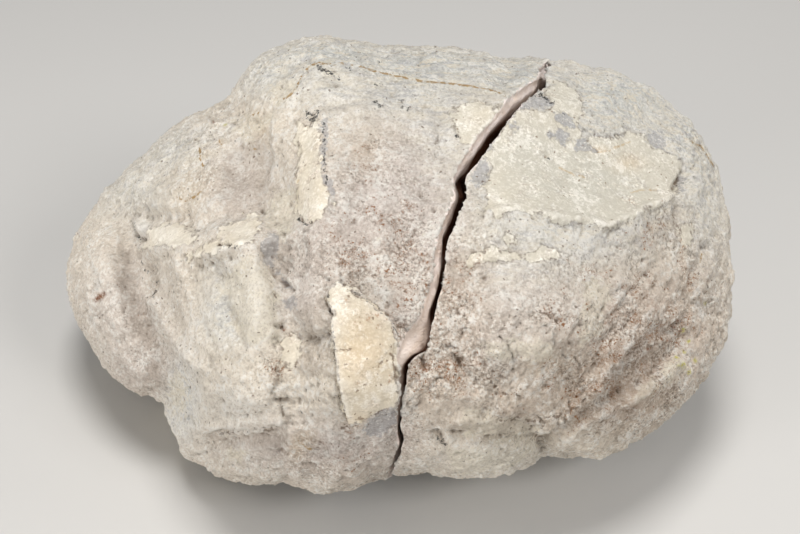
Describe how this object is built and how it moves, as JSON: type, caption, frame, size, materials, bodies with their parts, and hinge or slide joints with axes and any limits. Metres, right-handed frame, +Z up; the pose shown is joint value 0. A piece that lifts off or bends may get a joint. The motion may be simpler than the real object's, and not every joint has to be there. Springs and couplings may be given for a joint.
{
  "type": "quartz geode",
  "caption": "Closed quartz geode nodule broken in two and stood back together, with a crack that gapes at the top; pale clay-dusted skin of lumps, folds and ledges.",
  "frame": {"origin": "middle of the geode's box in X and Y, on the surface it rests on", "axes": "+X along the longest extent, from the left half to the right half; +Y away from the side with the block and the gaping crack; +Z up, along the shortest extent"},
  "size_m": [0.1604, 0.128, 0.0927],
  "materials": {
    "left_half": "dull weathered chalcedony with cream clay patches; mauve-grey and brown broken face",
    "right_half": "dull weathered chalcedony with cream clay patches; mauve-grey and brown broken face"
  },
  "bodies": {
    "root": {"left_half": "left_half", "right_half": "right_half"}
  },
  "joints": []
}
